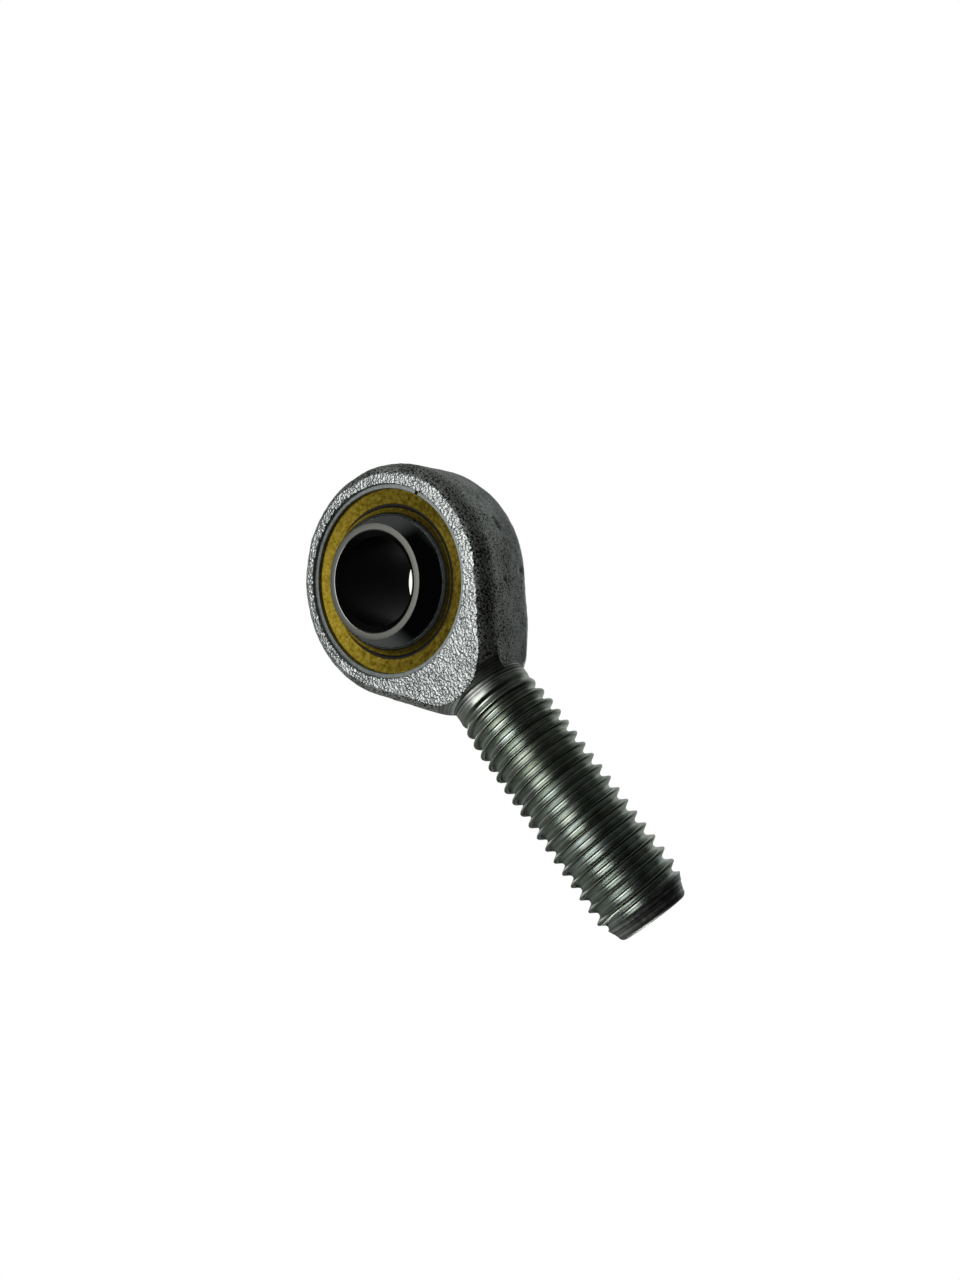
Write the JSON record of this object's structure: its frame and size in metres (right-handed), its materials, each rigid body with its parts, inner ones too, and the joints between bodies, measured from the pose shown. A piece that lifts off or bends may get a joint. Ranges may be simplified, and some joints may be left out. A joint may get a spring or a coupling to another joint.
{
  "type": "rod end bearing",
  "caption": "Male rod end: forged steel eye on a threaded shank, with a swivelling steel ball in a brass race held by split rings.",
  "frame": {"origin": "centre of the ball, where the bore axis and the shank axis cross", "axes": "+Y along the bore, +Z away from the shank, so the threaded shank points down -Z"},
  "size_m": [0.032, 0.016, 0.07],
  "materials": {
    "zinc_forging": "zinc plated forging, coarse orange peel on the faces, rolled thread",
    "race_brass": "dull brushed brass",
    "sliding_liner": "dark woven sliding layer, matt",
    "bearing_steel": "polished sphere, ground end faces",
    "zinc_ring": "smooth bright zinc"
  },
  "bodies": {
    "rod_end": {"housing": "zinc_forging", "race": "race_brass", "liner": "sliding_liner", "front_retaining_ring": "zinc_ring", "rear_retaining_ring": "zinc_ring"},
    "ball": {"ball": "bearing_steel"}
  },
  "joints": [
    {"name": "ball_tilt", "type": "hinge", "parent": "rod_end", "child": "ball", "pos_m": [0, 0, 0], "axis": [1, 0, 0], "range_deg": [-13, 13]}
  ]
}
